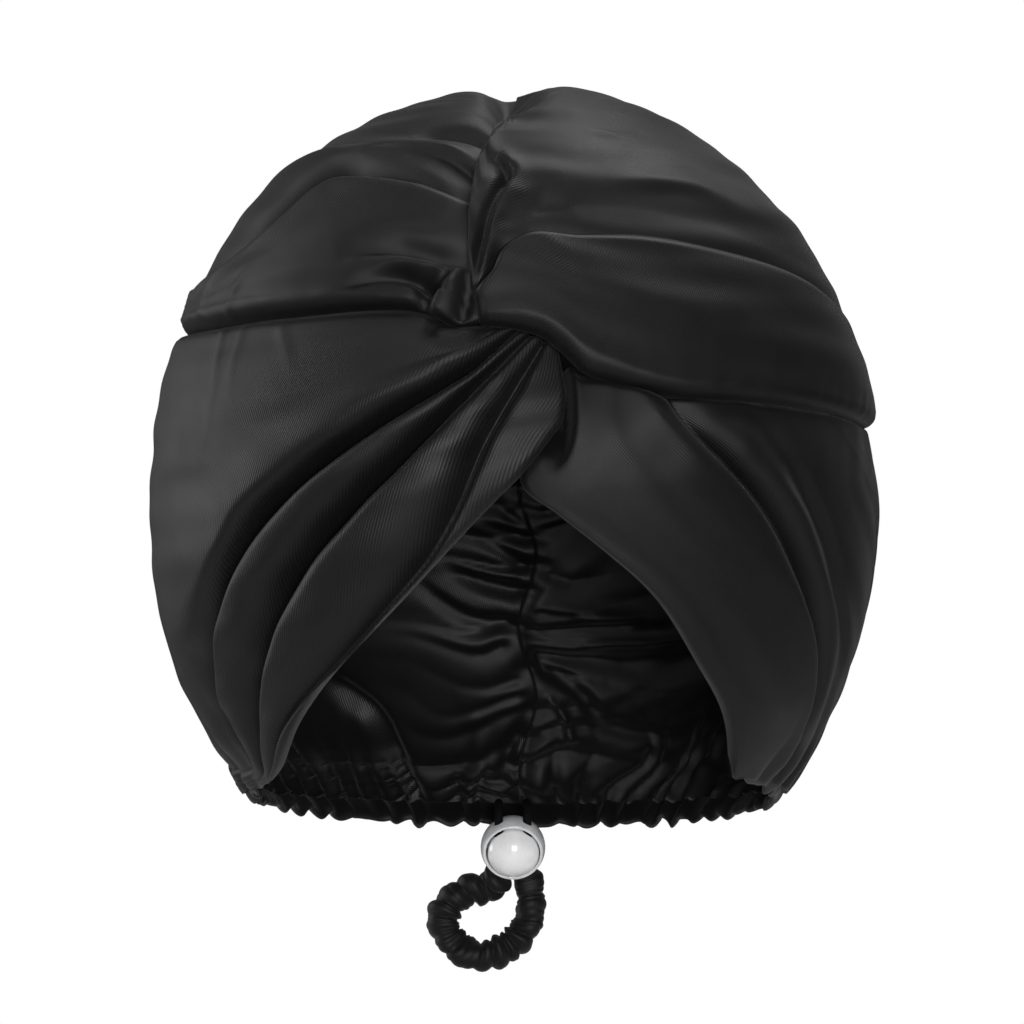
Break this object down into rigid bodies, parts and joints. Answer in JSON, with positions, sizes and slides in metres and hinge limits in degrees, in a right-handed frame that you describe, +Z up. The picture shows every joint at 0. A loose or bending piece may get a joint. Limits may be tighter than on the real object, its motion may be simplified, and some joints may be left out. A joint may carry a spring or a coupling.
{
  "type": "silk sleep bonnet",
  "caption": "Twist-front turban sleep bonnet in black satin, gathered at the nape by an elastic in a casing with a ball cord lock and a ruched loop below it.",
  "frame": {"origin": "inside of the crown, where the top of the head sits", "axes": "+Z up along the head, the face opening and the twist towards -Y, the nape towards +Y, +X to the right of a viewer who faces the opening"},
  "size_m": [0.2179, 0.2306, 0.2709],
  "materials": {
    "satin": "black silk satin, fine twill weave, soft sheen",
    "pearl_grey": "pearl grey moulded plastic, polished",
    "pearl_white": "pearl white moulded plastic, polished",
    "ruched_elastic": "black satin cover ruched on an elastic core"
  },
  "bodies": {
    "bonnet": {"crown_left": "satin", "crown_right": "satin", "band_left": "satin", "band_right": "satin", "nape_casing": "satin", "lock_barrel": "pearl_grey", "strand_left": "ruched_elastic", "strand_right": "ruched_elastic", "elastic_loop": "ruched_elastic"},
    "button": {"lock_button": "pearl_white"}
  },
  "joints": [
    {"name": "button_press", "type": "slide", "parent": "bonnet", "child": "button", "axis": [0, 0.9063, 0.4226], "range_m": [0, 0.0022], "stiffness_N_per_m": 900}
  ]
}
